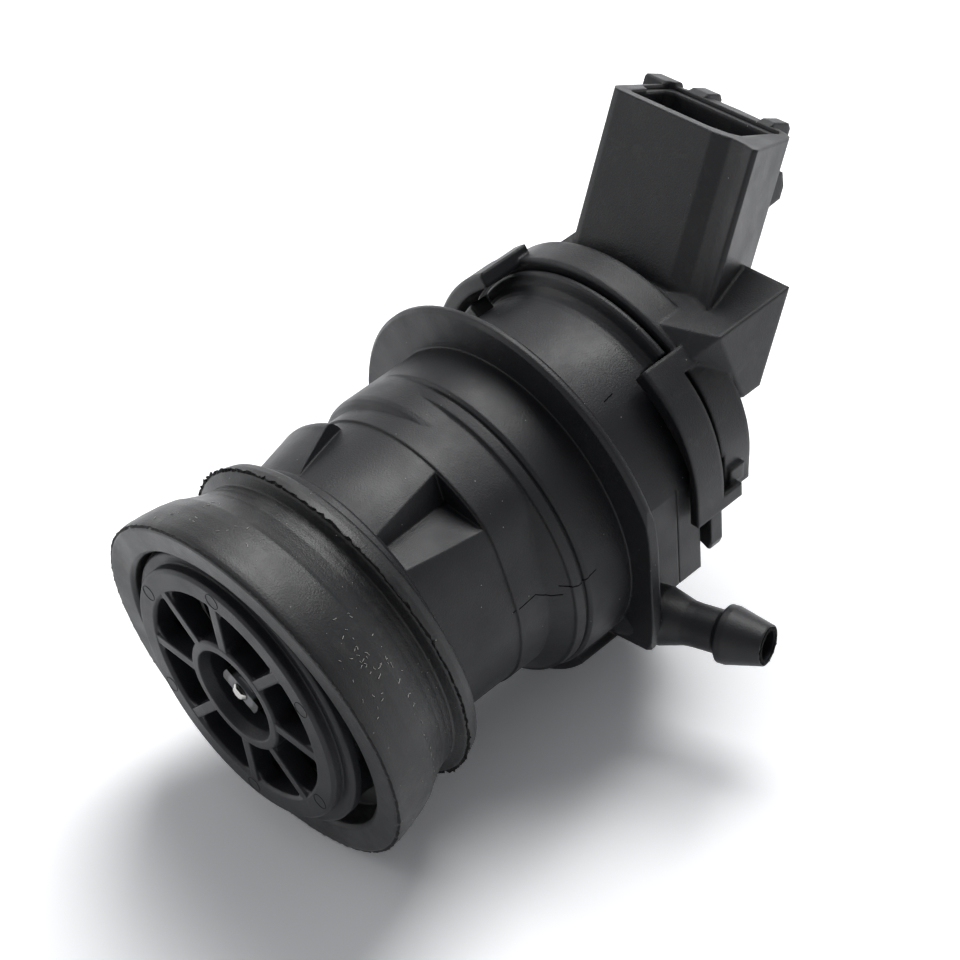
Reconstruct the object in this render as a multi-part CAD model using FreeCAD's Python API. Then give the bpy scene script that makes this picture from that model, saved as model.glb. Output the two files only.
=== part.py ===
import FreeCAD, Part
import math
import os

# Windshield washer pump, lying on its side.
# Millimetres.  The pump axis is the Y axis: the inlet grille faces -Y at Y = 0
# and the cap is at +Y.  Z is up.  Angles about the axis start at +X and turn to +Z.

os.makedirs("parts", exist_ok=True)

V = FreeCAD.Vector
AXIS = V(0, 1, 0)

# Driving sizes of the moulded housing
flange_r = 22.7            # disc flange, the size everything else was scaled from
flange_y = 38.7            # its front face
flange_t = 1.25
flange_flat = 20.95        # flat on its near side
flange_flat_angle = 2.5
flange_cut = 13.9          # flat cut off the underside of the flange
flange_cut_angle = -75.8
neck_r = 15.6              # neck that carries the grommet
neck_y = 2.6
collar_r = 17.4            # collar behind the grommet
collar_y = 13.9
collar_t = 1.6
barrel_thin = 15.3         # front barrel: thin on the near side, thick over the top
barrel_thick = 17.0
barrel_step = 0.2
step_y = (25.3, 29.0, 31.1, 32.7)
step_r = (17.3, 17.8, 18.1)
rear_r = 17.5              # motor barrel behind the flange
rear_flat = 16.8           # flat panel on its side
rear_flat_angle = 3.0
groove_r = 15.8            # groove in front of the rim
groove_y = 50.5
rim_r = 18.3               # rim the cap sits against, with the same flat panel
rim_y = (51.7, 53.4)
rim_flat = 17.3
rim_end_angle = -19.4
bead_r = 19.5              # bead over the top, in front of the cap ring
seam_y = 47.05

# Pump chamber and water way
chamber_r = 12.2
chamber_end = 10.6
volute_shift = 1.1
outlet_angle = -82.0
duct_r = 17.2              # distance of the water duct from the axis
duct_bore = 1.3
duct_wall = 1.5
block_y = (33.6, 44.6)     # block under the flange that turns the water sideways
block_r = 19.1
block_angles = (-98.0, -34.0)

# Hose nozzle
nozzle_angle = 8.0
nozzle_lean = 16.0
nozzle_offset = 10.0       # distance of its line from the pump axis
nozzle_start = 12.6        # along the nozzle line, from the nearest point to the axis
nozzle_taper_at = 18.5
nozzle_neck_at = 21.1
nozzle_barb_at = 25.2
nozzle_barb_land = 0.8     # along the nozzle
nozzle_tip_at = 29.85
nozzle_root_r = 3.25
nozzle_neck_r = 2.4
nozzle_barb_r = 3.2
nozzle_tip_r = 2.25
nozzle_bore_r = 1.7
nozzle_y0 = 37.15          # Y of the nozzle line at its nearest point to the axis

# Inlet grille
grille_face_r = 14.95
grille_step_r = 16.3
grille_step_y = 1.3
grille_open_r = 12.3
hub_r = 6.6
hub_open_r = 5.0
hub_depth = 3.0
spokes = 8
spoke_w = 1.15
spoke_depth = 2.4
spoke_angle = 5.4
spoke_round_out = 1.3      # corner radii of the openings
spoke_round_in = 0.7
grille_spigot = 1.6
grille_fit = 0.05

# Rubber grommet, pushed askew on the neck
lip_r = 20.95              # front lip, outside the tank wall
valley_r = 18.15           # bottom of the groove the tank wall sits in
valley_y = 12.2
rear_lip_r = 19.45         # rear lip, inside the tank wall
rear_lip_y = 13.0
grommet_mouth_r = 17.45
grommet_tilt = 4.9         # degrees, about the line at grommet_tilt_line
grommet_tilt_line = 24.0
grommet_shift = (0.4, 0.0, 0.0)
grommet_fit = 0.03

# End cap
cap_r = 20.35
cap_shift = (-0.4, 0.0, 0.1)
cap_front = 53.75
cap_ring_end = 57.6
cap_back = 58.0
cap_inside_r = 13.9
cap_inside_y = 56.6
cap_plug = 0.9             # how far its plug reaches into the housing
cap_low = 0.8              # below this height the near side is a plain dome
dome_r = (16.2, 10.0)
dome_y = (54.1, 58.0)
loop_r = ((18.9, 20.8), (20.0, 21.7), (18.9, 24.4))   # inner and outer radius: near, far and lower loop
loop_y = (48.4, 52.4)
loop_flat = 18.6           # the near loop is flattened like the panel beside it
loop_flat_in = 17.5
loop_angles = ((2.5, 60.0), (128.5, 178.0), (-108.0, -72.0))
window_leg = (5.5, 7.0)
tooth_r = 19.8
tooth_gap = 0.3
foot_z = -21.4             # the flat the lower loop rests on

# Connector: w runs across it, t through it and h along it
conn_turn = 6.3
conn_lean = 28.6
shoulder_w = (-9.0, 15.9)
shoulder_up = 18.05
shoulder_low = 8.3
shoulder_front = 54.0
shoulder_back_t = 50.2
conn_outline = ((-7.9, 43.1), (-7.1, 42.9), (6.2, 42.9), (8.2, 43.7), (10.0, 43.5), (11.7, 42.9), (12.0, 43.4),
                (8.6, 53.0), (7.9, 54.0), (6.9, 54.7), (4.6, 55.4), (2.0, 55.9), (-1.0, 56.1), (-4.0, 55.9),
                (-6.6, 55.4), (-8.8, 54.7), (-9.35, 54.45), (-9.6, 53.9),
                (-8.75, 44.9), (-8.55, 43.9))
conn_mouth = ((-6.6, 44.4), (4.6, 44.4), (6.6, 45.0), (7.6, 46.0), (6.9, 51.8), (6.0, 52.9),
              (-7.4, 52.9), (-8.1, 52.0), (-7.1, 45.0))
conn_ledge = ((6.9, 51.9), (7.0, 53.3), (6.3, 54.2), (-8.5, 54.2), (-9.1, 53.7), (-8.6, 48.6), (-7.4, 48.0))
conn_groove = ((6.6, 53.2), (6.9, 53.4), (6.2, 54.25), (-8.55, 54.25), (-9.15, 53.7), (-8.65, 48.6), (-8.35, 48.6),
               (-8.8, 53.5), (-8.4, 53.9), (6.0, 53.9))
conn_top = 61.5
rib_top = 61.9             # the ribs behind the shroud stand a little above it
conn_low = 41.5
conn_floor = 46.5
blade_w = (-4.3, 3.3)
blade_width = 2.3
blade_t = 0.64
blade_top = 57.0
blade_mid_t = 48.8
blade_up = 9.6
blade_fit = 0.05

# Motor
can_r = 13.85
can_fit = 0.2
can_wall = 0.8
can_y = (17.4, 50.4)
boss_r = 5.0
boss_y = 14.3
magnet_in_r = 10.4
magnet_y = (20.8, 44.8)
magnet_half = 62.0
core_r = 10.0
core_hub_r = 4.2
shoe_r = 8.7
tooth_half = 1.8
core_y = (24.0, 41.6)
shaft_r = 1.0
shaft_y = (0.5, 56.2)
bush_r = 3.0
bush_fit = 0.03
commutator_r = 3.4
commutator_y = (45.6, 49.6)
plate_y = (50.45, 52.4)
rear_boss_y = 55.2
impeller_r = 10.8
impeller_disc_y = (8.6, 9.7)
blade_front = 3.6
impeller_hub_r = 2.3
impeller_hub_y = 0.9
impeller_sleeve_r = 1.55
tab_r = 2.65               # rounded flat tab across the front of the impeller hub
tab_width = 2.1
tab_angle = -24.4
seal_r = 4.55


def polar(r, angle, y=0.0):
    a = math.radians(angle)
    return V(r * math.cos(a), y, r * math.sin(a))


def tube(r, y0, y1):
    return Part.makeCylinder(r, y1 - y0, V(0, y0, 0), AXIS)


def face_of(points):
    return Part.Face(Part.makePolygon(list(points) + [points[0]]))


def turned(profile, a0=0.0, a1=360.0):
    """Revolve a closed (radius, y) outline about the pump axis from angle a0 to a1."""
    face = face_of([V(r, y, 0) for r, y in profile])
    solid = face.revolve(V(0, 0, 0), V(0, -1, 0), a1 - a0)
    solid.rotate(V(0, 0, 0), V(0, -1, 0), a0)
    return solid


def sector(r0, r1, y0, y1, a0, a1):
    return turned([(r0, y0), (r1, y0), (r1, y1), (r0, y1)], a0, a1)


def rod(p0, p1, r):
    return Part.makeCylinder(r, (p1 - p0).Length, p0, p1 - p0)


def slab(points, direction):
    """Prism on a closed outline of points."""
    return face_of(points).extrude(direction)


def solid_of(shape):
    shape = shape.removeSplitter()
    solids = sorted(shape.Solids, key=lambda s: s.Volume)
    return solids[-1]


def save(name, shape):
    solid_of(shape).exportStep("parts/" + name + ".step")


# Directions of the connector: across, up, along, through
turn = math.radians(conn_turn)
lean = math.radians(conn_lean)
W = V(math.cos(turn), 0, math.sin(turn))
U = V(-math.sin(turn), 0, math.cos(turn))
D = U * math.cos(lean) + AXIS * math.sin(lean)
T = D.cross(W)


def conn(w, t, h):
    return W * w + T * t + D * h


def block(w, up, y):
    return W * w + U * up + AXIS * y


# Directions of the nozzle: out of the pump in the plane across the axis, then leaning back
side = polar(1.0, nozzle_angle)
under = polar(1.0, nozzle_angle - 90.0)
NOZZLE = side * math.cos(math.radians(nozzle_lean)) + AXIS * math.sin(math.radians(nozzle_lean))


def on_nozzle(s):
    k = s / math.cos(math.radians(nozzle_lean))
    return under * nozzle_offset + AXIS * nozzle_y0 + NOZZLE * k


# Pump housing: neck, collar, stepped barrel, flange and motor barrel in one moulding
body = turned([
    (0, neck_y), (neck_r - 0.4, neck_y), (neck_r, neck_y + 0.4), (neck_r, collar_y),
    (collar_r, collar_y), (collar_r, collar_y + collar_t - 0.3), (collar_r - 0.3, collar_y + collar_t),
    (15.0, collar_y + collar_t), (15.0, step_y[1]), (barrel_thin, step_y[1]),
    (step_r[0], step_y[2]), (step_r[0] + 0.3, step_y[2] + 0.1), (step_r[0] + 0.45, step_y[3] - 0.35),
    (step_r[0] + 0.2, step_y[3] - 0.25), (step_r[0] + 0.2, step_y[3] - 0.05),
    (step_r[1], step_y[3]), (step_r[2], step_y[3] + 0.3), (step_r[2], flange_y + 0.5),
    (rear_r, flange_y + 0.5), (rear_r, groove_y - 0.3), (rear_r - 0.3, groove_y), (groove_r, groove_y),
    (groove_r, rim_y[0]), (rim_r - 0.2, rim_y[0]), (rim_r, rim_y[0] + 0.2), (rim_r, rim_y[1]), (0, rim_y[1])])


def outside(line, y0, y1):
    """Everything beyond a smooth line of (radius, angle) points, as a cutter."""
    points = [polar(r, a, y0) for r, a in line]
    curve = Part.BSplineCurve()
    curve.interpolate(points)
    first, last = line[0][1], line[-1][1]
    far = [points[-1], polar(45, last, y0), polar(50, (first + last) / 2, y0), polar(45, first, y0), points[0]]
    return Part.Face(Part.Wire([curve.toShape()] + Part.makePolygon(far).Edges)).extrude(AXIS * (y1 - y0))


def cut_off(shape, p, q, r, lost):
    """Cut the shape on the plane through p, q and r and drop the side the point lost is on."""
    normal = (q - p).cross(r - p).normalize()
    if normal.dot(lost - p) < 0:
        normal = normal * -1
    along = (q - p).normalize()
    over = normal.cross(along)
    return shape.cut(slab([p + along * i + over * j for i, j in ((-60, -60), (60, -60), (60, 60), (-60, 60))], normal * 60))


def cam(grow, y0, y1):
    """Front barrel section: a smooth closed curve, thin on the near side."""
    thin = barrel_thin + grow
    thick = barrel_thick + grow
    mid = (thin + thick) / 2
    ends = ((-30, thin), (-8, thin), (12, thin), (27, thin + 0.15), (39, mid), (49, thick - 0.1), (62, thick),
            (78, thick), (95, thick), (125, thick), (155, thick), (185, thick), (212, mid + 0.45), (236, mid - 0.2),
            (262, thin), (300, thin))
    curve = Part.BSplineCurve()
    curve.interpolate([polar(r, a, y0) for a, r in ends], PeriodicFlag=True)
    return Part.Face(Part.Wire(curve.toShape())).extrude(AXIS * (y1 - y0))


barrel = cam(0, collar_y + collar_t - 0.3, step_y[0] + 0.1).fuse(cam(barrel_step, step_y[0], step_y[2]))
flange = turned([
    (15.0, flange_y), (flange_r - 0.4, flange_y), (flange_r, flange_y + 0.4),
    (flange_r, flange_y + flange_t - 0.4), (flange_r - 0.4, flange_y + flange_t), (15.0, flange_y + flange_t)])
cut_out = polar(1.0, flange_cut_angle)
cut_side = polar(1.0, flange_cut_angle + 90.0)
flange = flange.cut(slab(
    [cut_out * flange_cut + cut_side * k + AXIS * (flange_y - 1) for k in (-30, 30)]
    + [cut_out * 40 + cut_side * k + AXIS * (flange_y - 1) for k in (30, -30)], AXIS * (flange_t + 2)))
flange = flange.cut(outside(((flange_r + 0.3, -28), (flange_r - 0.3, -21), (flange_flat + 0.75, -13), (flange_flat + 0.2, -5),
                             (flange_flat, flange_flat_angle), (flange_flat + 0.2, 10), (flange_flat + 0.75, 18),
                             (flange_r - 0.3, 26), (flange_r + 0.3, 33)), flange_y - 1, flange_y + flange_t + 1))
housing = body.fuse([barrel, flange])

# Flat panel on the side of the motor barrel
flat_out = polar(1.0, rear_flat_angle)
flat_side = polar(1.0, rear_flat_angle + 90.0)


def panel(distance, y0, y1, lo=-12, hi=12):
    return slab([flat_out * d + flat_side * q + AXIS * y0
                 for d, q in ((distance, lo), (distance, hi), (distance + 8, hi), (distance + 8, lo))], AXIS * (y1 - y0))


corner_rib = slab([V(x, flange_y + 0.5, z) for x, z in (
    (10.0, -4.0), (14.5, -2.0), (rear_flat + 1.0, -2.0), (rear_flat + 1.0, -7.5), (rear_flat - 0.4, -8.3),
    (12.0, -11.4))], AXIS * (groove_y - flange_y - 0.5))
housing = housing.fuse(corner_rib)
housing = housing.cut(panel(rear_flat, flange_y + flange_t, groove_y + 0.1))
housing = housing.cut(panel(rim_flat, rim_y[0] - 0.1, rim_y[1] + 0.1))
housing = housing.cut(panel(rear_flat - 0.15, seam_y, seam_y + 0.14))

# The rim stops short on the lower near side, and flares up to the cap over the top
housing = housing.cut(sector(groove_r + 0.4, 25.0, rim_y[0] - 0.1, rim_y[1] + 0.1, -62.0, rim_end_angle))
flare = turned([(15.0, 50.2), (rear_r, 50.2), (rear_r + 0.1, 50.9), (rear_r + 0.35, 51.4), (rear_r + 0.8, 51.8),
                (rear_r + 1.4, 52.05), (rear_r + 1.8, 52.25), (bead_r, 52.5), (bead_r, 52.9), (bead_r - 0.2, 53.0),
                (15.0, 53.0)], 61.2, 150.0)
housing = housing.fuse(flare)

# Ramp and pad on the far side of the barrel
ramp = turned([(14.6, collar_y + collar_t), (17.1, collar_y + collar_t), (18.4, 21.3), (18.55, 21.8), (18.55, 22.3),
               (18.3, 22.9), (17.6, 23.5), (16.9, 23.9), (14.6, 23.9)], 100, 156)
ramp = cut_off(ramp, polar(17.0, 109.4, 15.8), polar(17.0, 118.0, 22.0), polar(20.0, 117.0, 22.0), polar(17.0, 90.0, 20.0))
pad = turned([(0, 27.4), (15.4, 27.4), (16.0, 27.8), (16.3, 28.3), (16.4, 28.9), (16.4, flange_y + 0.2),
              (0, flange_y + 0.2)])
pad.translate(polar(1.8, 150.0))
# Water duct along the underside, and the block that turns the water to the nozzle
duct_mid = polar(duct_r, outlet_angle)
duct = rod(duct_mid + AXIS * (collar_y + collar_t - 0.2), duct_mid + AXIS * (flange_y + 0.2), duct_bore + duct_wall)
duct_fill = sector(14.6, duct_r, collar_y + collar_t - 0.2, flange_y + 0.2, outlet_angle - 9, outlet_angle + 9)
turn_front = sector(14.8, block_r, block_y[0], flange_y + 0.2, block_angles[0], block_angles[1])
turn_back = sector(14.8, block_r - 0.6, flange_y + 0.2, block_y[1], -52.0, block_angles[1])
housing = housing.fuse([ramp, pad, duct, duct_fill, turn_front, turn_back])

# Nozzle with one barb
nozzle = face_of([on_nozzle(at) + under * r for r, at in (
    (0, nozzle_start), (nozzle_root_r, nozzle_start), (nozzle_root_r, nozzle_taper_at),
    (nozzle_neck_r + 0.35, nozzle_neck_at - 0.9), (nozzle_neck_r + 0.08, nozzle_neck_at), (nozzle_neck_r, nozzle_neck_at + 1.0),
    (nozzle_neck_r, nozzle_barb_at - 0.6),
    (nozzle_barb_r, nozzle_barb_at), (nozzle_barb_r, nozzle_barb_at + nozzle_barb_land * math.cos(math.radians(nozzle_lean))),
    (nozzle_tip_r, nozzle_tip_at), (0, nozzle_tip_at))])
nozzle = nozzle.revolve(on_nozzle(0), NOZZLE, 360)
housing = housing.fuse(nozzle)

# Tapered pocket in the near side of the barrel
pocket_y = (collar_y + collar_t + 0.15, step_y[0] - 0.2)
near_pocket = Part.makePolygon([V(x, pocket_y[0], z) for x, z in (
    (5.3, 18.6), (6.35, 13.95), (11.6, 13.85), (11.6, 18.6), (5.3, 18.6))])
far_pocket = Part.makePolygon([V(x, pocket_y[1], z) for x, z in (
    (3.5, 18.6), (5.3, 13.0), (12.6, 13.0), (12.6, 18.6), (3.5, 18.6))])
housing = housing.cut(Part.makeLoft([near_pocket, far_pocket], True, True))

# Latch teeth that the cap loops snap over
for a0, a1 in loop_angles[1:]:
    housing = housing.fuse(turned([
        (16.0, loop_y[1] + tooth_gap), (tooth_r, loop_y[1] + tooth_gap), (tooth_r - 0.7, rim_y[1]),
        (16.0, rim_y[1])], a0 + window_leg[0] + 1.5, a1 - window_leg[1] - 1.5))

# Inside: chamber, volute, seal pocket, motor cavity
counterbore = grille_spigot + 0.1
inside = tube(chamber_r, neck_y - 1, chamber_end)
volute = Part.makeCylinder(chamber_r - 0.1, chamber_end - 4.6, polar(volute_shift, outlet_angle, 4.6), AXIS)
seat = tube(chamber_r + 1.25 + grille_fit, neck_y - 1, neck_y + counterbore)
seal_pocket = tube(seal_r + 0.05, chamber_end - 0.1, 13.1)
shaft_hole = tube(shaft_r + 0.5, 13.0, boss_y)
boss_pocket = tube(boss_r + 0.1, boss_y - 0.1, can_y[0])
cavity = tube(can_r + can_fit, can_y[0] - 0.1, rim_y[1] + 1)
housing = housing.cut(inside.fuse([volute, seat, seal_pocket, shaft_hole, boss_pocket, cavity]))

# Water way: out of the volute, along the duct, round the block and out of the nozzle
port = polar(13.5, outlet_angle)
turn_at = collar_y + collar_t
way = rod(port + AXIS * 8.0, port + AXIS * (turn_at + 0.4), 1.2)
rise = rod(polar(13.5, outlet_angle, turn_at - 0.2), polar(duct_r, outlet_angle, turn_at - 0.2), 1.2)
along = rod(duct_mid + AXIS * (turn_at - 0.2), duct_mid + AXIS * 36.4, duct_bore)
nozzle_foot = on_nozzle(nozzle_start)
foot_angle = math.degrees(math.atan2(nozzle_foot.z, nozzle_foot.x))
foot_r = math.hypot(nozzle_foot.x, nozzle_foot.z)
across = sector(15.1, 17.9, 34.8, 37.4, outlet_angle, foot_angle + 3)
link = rod(polar(foot_r, foot_angle, 36.0), polar(foot_r, foot_angle, nozzle_foot.y + 0.5), duct_bore)
bore = rod(nozzle_foot, on_nozzle(nozzle_tip_at + 1), nozzle_bore_r)
housing = housing.cut(way.fuse([rise, along, across, link, bore]))
save("pump_housing", housing)

# Inlet grille: stepped ring, eight spokes and an open hub, pushed into the neck
ring = turned([
    (grille_open_r, 0.3), (grille_open_r + 0.3, 0), (grille_face_r - 0.3, 0), (grille_face_r, 0.3),
    (grille_face_r, grille_step_y), (grille_step_r - 0.3, grille_step_y), (grille_step_r, grille_step_y + 0.3),
    (grille_step_r, neck_y), (chamber_r + 1.25, neck_y), (chamber_r + 1.25, neck_y + grille_spigot),
    (chamber_r, neck_y + grille_spigot), (chamber_r, neck_y), (grille_open_r, neck_y - 0.4)])
hub = turned([(hub_open_r + 0.5, 0), (hub_r - 0.2, 0), (hub_r, 0.2), (hub_r, hub_depth), (hub_open_r, hub_depth),
              (hub_open_r, 1.2)])
spoke = slab([V(x, 0.05, z) for x, z in (
    (hub_r - 0.8, -spoke_w / 2), (grille_open_r + 0.6, -spoke_w / 2), (grille_open_r + 0.6, spoke_w / 2),
    (hub_r - 0.8, spoke_w / 2))], AXIS * (spoke_depth - 0.05))
for circle_r, inward, r in ((grille_open_r, 1, spoke_round_out), (hub_r, -1, spoke_round_in)):
    # rounded corners of the openings: what is left of a corner outside a small circle
    centre_z = spoke_w / 2 + r
    centre_x = math.sqrt((circle_r - inward * r) ** 2 - centre_z ** 2)
    touch = (circle_r + inward * 0.3) / (circle_r - inward * r)
    for up in (1, -1):
        corner = slab([V(x, 0.3, z * up) for x, z in (
            (centre_x, centre_z), (centre_x, spoke_w / 2 - 0.1), (circle_r + inward * 0.3, spoke_w / 2 - 0.1),
            (centre_x * touch, centre_z * touch))], AXIS * 1.9)
        spoke = spoke.fuse(corner.cut(Part.makeCylinder(r, 4, V(centre_x, -1, centre_z * up), AXIS)))
grille = ring.fuse(hub)
for k in range(spokes):
    one = spoke.copy()
    one.rotate(V(0, 0, 0), V(0, -1, 0), spoke_angle + 360.0 * k / spokes)
    grille = grille.fuse(one)
save("inlet_grille", grille)

# Rubber grommet: two lips and a valley, the outside skewed, the bore true to the neck
grommet = turned([
    (grommet_mouth_r, 2.1), (grommet_mouth_r + 0.4, 1.7), (lip_r - 0.5, 1.6), (lip_r - 0.1, 1.8), (lip_r, 2.2),
    (lip_r, 2.7), (lip_r - 0.2, 4.2), (lip_r - 0.55, 6.0), (lip_r - 1.0, 7.5), (lip_r - 1.3, 8.0),
    (valley_r + 0.95, 9.1), (valley_r + 0.45, 10.2), (valley_r + 0.12, 11.3), (valley_r, valley_y),
    (rear_lip_r - 0.25, rear_lip_y - 0.25), (rear_lip_r, rear_lip_y), (rear_lip_r - 0.1, rear_lip_y + 0.8),
    (rear_lip_r - 0.4, rear_lip_y + 1.6), (rear_lip_r - 0.75, rear_lip_y + 1.9), (14.0, rear_lip_y + 1.9),
    (14.0, 4.8), (grommet_mouth_r - 0.4, 4.8)])
grommet.rotate(V(0, 7, 0), polar(1.0, grommet_tilt_line), grommet_tilt)
grommet.translate(V(*grommet_shift))
grommet = grommet.cut(tube(neck_r + grommet_fit, -5, 20))
grommet = grommet.cut(tube(collar_r + grommet_fit, collar_y - grommet_fit, 30))
grommet = grommet.cut(tube(grille_step_r + 0.4, -5, neck_y + 0.3))
save("tank_grommet", grommet)

# End cap: band, dome, shoulder, three snap loops and the connector shroud
band = turned([
    (0, cap_front), (rim_r + 0.5, cap_front), (rim_r + 0.5, cap_front - 0.4), (cap_r - 0.3, cap_front - 0.4),
    (cap_r, cap_front - 0.1), (cap_r, cap_ring_end - 0.3), (cap_r - 0.4, cap_ring_end), (12.0, cap_back), (0, cap_back)])
band.translate(V(*cap_shift))
band = band.cut(outside(((rim_flat + 1.0, -15), (rim_flat + 0.15, -5), (rim_flat, 3), (rim_flat + 0.12, 8),
                         (rim_flat + 0.6, 15), (rim_flat + 1.3, 23), (rim_flat + 2.0, 32), (rim_flat + 2.55, 41),
                         (cap_r - 0.18, 50), (cap_r, 60), (cap_r + 0.3, 68)), cap_front - 2, cap_back + 1))
low_side = Part.makeBox(30, 10, 30, V(0, cap_front - 1, cap_low - 30))
band = band.cut(low_side)
dome = turned([(0, cap_front), (dome_r[0], cap_front), (dome_r[0], dome_y[0]), (dome_r[1], dome_y[1]), (0, dome_y[1])])
cap = band.fuse(dome)
foot_band = sector(14.0, cap_r, cap_front, 55.4, loop_angles[2][0], loop_angles[2][1])
cap = cap.fuse(foot_band)
slot_y = loop_y[1]
for k, (a0, a1) in enumerate(loop_angles):
    loop_in_r, out_r = loop_r[k]
    end_y = 55.2
    arm = turned([(loop_in_r, loop_y[0]), (out_r - 0.3, loop_y[0]), (out_r, loop_y[0] + 0.3),
                  (out_r, end_y), (loop_in_r, end_y)], a0, a1)
    if k == 0:
        # the near loop is flattened: its inner face keeps off the housing panel by the same gap
        outer = turned([(14.0, loop_y[0]), (out_r - 0.3, loop_y[0]), (out_r, loop_y[0] + 0.3), (out_r, end_y),
                        (14.0, end_y)], a0, a1)
        inside_loop = tube(loop_in_r, loop_y[0] - 1, end_y + 1).cut(panel(loop_flat_in, loop_y[0] - 2, end_y + 2))
        arm = outer.cut(inside_loop).cut(outside((
            (loop_flat + 0.2, -5), (loop_flat, 2.5), (loop_flat + 0.15, 10), (loop_flat + 0.6, 18), (loop_flat + 1.1, 26),
            (loop_flat + 1.6, 34), (loop_flat + 2.0, 42), (out_r, 51), (out_r + 0.15, 62)), loop_y[0] - 1, end_y + 1))
        arm = arm.fuse(sector(loop_in_r, out_r, end_y - 0.1, cap_ring_end, a1 - window_leg[1], a1))
    gap = sector(15.0, 30.0, slot_y, 60.0, a0 + window_leg[0], a1 - window_leg[1])
    arm = arm.cut(gap)
    cap = cap.fuse(arm)
cap = cap.cut(Part.makeBox(80, 60, 20, V(-40, 30, foot_z - 20)))


def back_y(up):
    return (shoulder_back_t + math.sin(lean) * up) / math.cos(lean)


shoulder = slab([block(w, shoulder_low, y) for w, y in (
    (shoulder_w[0], shoulder_front), (shoulder_w[1], shoulder_front), (shoulder_w[1], 70), (shoulder_w[0], 70))],
    U * (shoulder_up - shoulder_low))
edge_in = block(8.8, shoulder_up, shoulder_front)
edge_low = block(13.7, 15.6, shoulder_front)
edge_out = block(shoulder_w[1], shoulder_up, shoulder_front + 2.3)
edge_side = block(shoulder_w[1], 13.6, cap_ring_end)
shoulder = cut_off(shoulder, edge_in, edge_low, edge_out, block(shoulder_w[1], shoulder_up, shoulder_front))
shoulder = cut_off(shoulder, edge_low, edge_out, edge_side, block(shoulder_w[1], 14.0, shoulder_front))
behind = slab([block(shoulder_w[0] - 5, up, y) for up, y in (
    (shoulder_low - 5, back_y(shoulder_low - 5)), (shoulder_up + 5, back_y(shoulder_up + 5)),
    (shoulder_up + 5, 90), (shoulder_low - 5, 90))], W * 50)
shoulder = shoulder.cut(behind)
shroud = slab([conn(w, t, conn_low) for w, t in conn_outline], D * (conn_top - conn_low))
under_cut = slab([conn(-20, t, h) for t, h in ((shoulder_back_t, conn_low - 1), (60, conn_low - 1), (60, conn_low + 5.5))],
                 W * 40)
cap = cap.fuse([shoulder, shroud.cut(under_cut)])

# Ribs and the lock ramp on the back of the shroud
back_t = 54.7
for w0, w1, t1 in ((-7.1, -4.8, 57.8), (3.0, 4.7, 58.2)):
    cap = cap.fuse(slab([conn(w0, t, h) for t, h in (
        (back_t - 0.5, 50.5), (back_t - 0.5, conn_top - 0.1), (back_t + 0.6, rib_top), (t1 - 0.5, rib_top),
        (t1, rib_top - 0.6), (t1, 54.0))],
        W * (w1 - w0)))
cap = cap.fuse(slab([conn(-11.9, t, h) for t, h in (
    (52.6, 50.0), (52.6, rib_top - 0.3), (52.9, rib_top), (55.2, rib_top), (55.6, rib_top - 0.4), (55.6, 52.0))], W * 3.2))
cap = cap.fuse(slab([conn(5.0, t, h) for t, h in (
    (back_t - 1.0, 52.8), (back_t - 1.0, 57.4), (back_t + 0.6, 57.4), (back_t + 1.5, 55.8), (back_t + 1.5, 54.4))],
    W * 2.4))

# Lock bump beside the lower leg of the near loop
cap = cap.fuse(slab([flat_out * (rim_flat - 1) + V(0, 54.2, z) for z in (1.3, 3.6)]
                    + [flat_out * (rim_flat - 1) + V(0, 56.3, z) for z in (3.6, 1.3)], flat_out * 1.5))

# Socket with a ledge and a narrow groove along its back wall, the hollow over the motor, and slots for the terminals
cap = cap.cut(slab([conn(w, t, conn_top - 0.35) for w, t in conn_ledge], D * 5))
cap = cap.cut(slab([conn(w, t, conn_top - 2.3) for w, t in conn_groove], D * 5))
cap = cap.cut(slab([conn(w, t, conn_floor) for w, t in conn_mouth], D * 30))
cap = cap.cut(tube(cap_inside_r - 1.4, cap_front - 1, cap_inside_y))
plug = turned([(cap_inside_r - 1.4, cap_front + 0.1), (cap_inside_r, cap_front + 0.1),
               (cap_inside_r, rim_y[1] - cap_plug + 0.3), (cap_inside_r - 0.3, rim_y[1] - cap_plug),
               (cap_inside_r - 1.4, rim_y[1] - cap_plug)])
cap = cap.fuse(plug)


def terminal(w, grow):
    """Blade in the socket, bent to run forward into the motor end plate."""
    g = grow
    t0 = blade_mid_t - blade_t / 2 - g
    t1 = blade_mid_t + blade_t / 2 + g
    w0 = w - blade_width / 2 - g
    width = blade_width + 2 * g
    y_bend = (blade_mid_t + math.sin(lean) * blade_up) / math.cos(lean)
    h_bend = math.cos(lean) * blade_up + math.sin(lean) * y_bend
    blade = slab([conn(w0, t, h_bend - 0.4) for t in (t0, t1)]
                 + [conn(w0, t1, blade_top - 0.8), conn(w0, blade_mid_t + 0.1 + g, blade_top + g),
                    conn(w0, blade_mid_t - 0.1 - g, blade_top + g), conn(w0, t0, blade_top - 0.8)], W * width)
    y_start = plate_y[1] - 0.9 - g
    leg = slab([block(w0, up, y) for up, y in (
        (blade_up - blade_t / 2 - g, y_start), (blade_up + blade_t / 2 + g, y_start),
        (blade_up + blade_t / 2 + g, y_bend + 0.35), (blade_up - blade_t / 2 - g, y_bend + 0.35))], W * width)
    return blade.fuse(leg)


for w in blade_w:
    cap = cap.cut(terminal(w, blade_fit))
save("end_cap", cap)

for name, w in zip(("terminal_left", "terminal_right"), blade_w):
    save(name, terminal(w, 0.0))

# Flat gasket between the cap and the rim
gasket = turned([(cap_inside_r + 0.2, rim_y[1] + 0.02), (16.2, rim_y[1] + 0.02), (16.2, cap_front - 0.02),
                 (cap_inside_r + 0.2, cap_front - 0.02)])
save("cap_gasket", gasket)

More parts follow.
